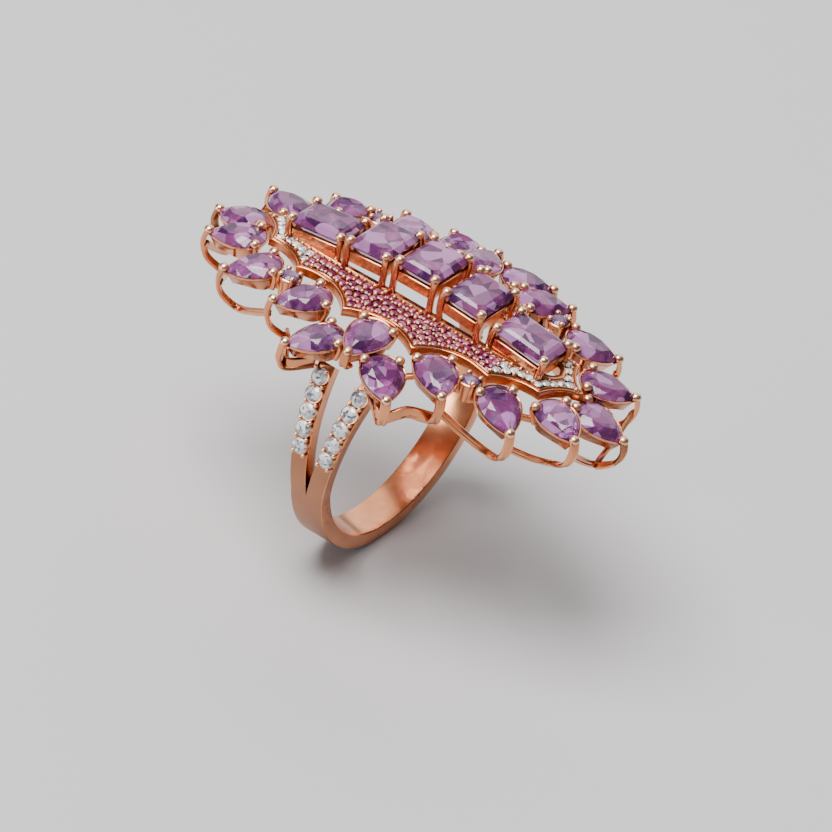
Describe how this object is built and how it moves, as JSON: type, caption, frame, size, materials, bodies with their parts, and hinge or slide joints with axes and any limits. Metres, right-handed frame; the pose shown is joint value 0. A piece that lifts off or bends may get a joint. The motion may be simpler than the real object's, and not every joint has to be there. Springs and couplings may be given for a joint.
{
  "type": "cocktail ring",
  "caption": "Long marquise cocktail ring: a row of step-cut stones on baskets, a scalloped pave border, a halo of pear stones on a scalloped gallery, and a split shank set with small diamonds.",
  "frame": {"origin": "centre of the finger hole, in the middle of the shank", "axes": "+Y along the finger hole, which is also the head's long axis; +Z from the finger hole to the head; +X to one side of the hoop"},
  "size_m": [0.0198, 0.0324, 0.0212],
  "materials": {
    "polished_rose_gold": "polished rose gold",
    "satin_rose_gold": "rose gold, satin outside and polished inside",
    "amethyst": "faceted, transparent light purple",
    "small_amethyst": "faceted, transparent darker purple",
    "pink_sapphire": "faceted, transparent raspberry pink",
    "diamond": "faceted, colourless and bright"
  },
  "bodies": {
    "root": {"accent_stone_1": "small_amethyst", "accent_stone_2": "small_amethyst", "accent_stone_3": "small_amethyst", "accent_stone_4": "small_amethyst", "border_frame": "polished_rose_gold", "centre_row_setting": "polished_rose_gold", "centre_stone_1": "amethyst", "centre_stone_2": "amethyst", "centre_stone_3": "amethyst", "centre_stone_4": "amethyst", "centre_stone_5": "amethyst", "gallery_rail": "polished_rose_gold", "outer_setting_frame": "polished_rose_gold", "pear_stone_01": "amethyst", "pear_stone_02": "amethyst", "pear_stone_03": "amethyst", "pear_stone_04": "amethyst", "pear_stone_05": "amethyst", "pear_stone_06": "amethyst", "pear_stone_07": "amethyst", "pear_stone_08": "amethyst", "pear_stone_09": "amethyst", "pear_stone_10": "amethyst", "pear_stone_11": "amethyst", "pear_stone_12": "amethyst", "pear_stone_13": "amethyst", "pear_stone_14": "amethyst", "pear_stone_15": "amethyst", "pear_stone_16": "amethyst", "pear_stone_17": "amethyst", "pear_stone_18": "amethyst", "pear_stone_19": "amethyst", "pear_stone_20": "amethyst", "pink_pave_far": "pink_sapphire", "pink_pave_near": "pink_sapphire", "shank_diamond_far_left_1": "diamond", "shank_diamond_far_left_2": "diamond", "shank_diamond_far_left_3": "diamond", "shank_diamond_far_left_4": "diamond", "shank_diamond_far_left_5": "diamond", "shank_diamond_far_right_1": "diamond", "shank_diamond_far_right_2": "diamond", "shank_diamond_far_right_3": "diamond", "shank_diamond_far_right_4": "diamond", "shank_diamond_far_right_5": "diamond", "shank_diamond_near_left_1": "diamond", "shank_diamond_near_left_2": "diamond", "shank_diamond_near_left_3": "diamond", "shank_diamond_near_left_4": "diamond", "shank_diamond_near_left_5": "diamond", "shank_diamond_near_right_1": "diamond", "shank_diamond_near_right_2": "diamond", "shank_diamond_near_right_3": "diamond", "shank_diamond_near_right_4": "diamond", "shank_diamond_near_right_5": "diamond", "split_shank": "satin_rose_gold", "white_pave_left": "diamond", "white_pave_right": "diamond"}
  },
  "joints": []
}
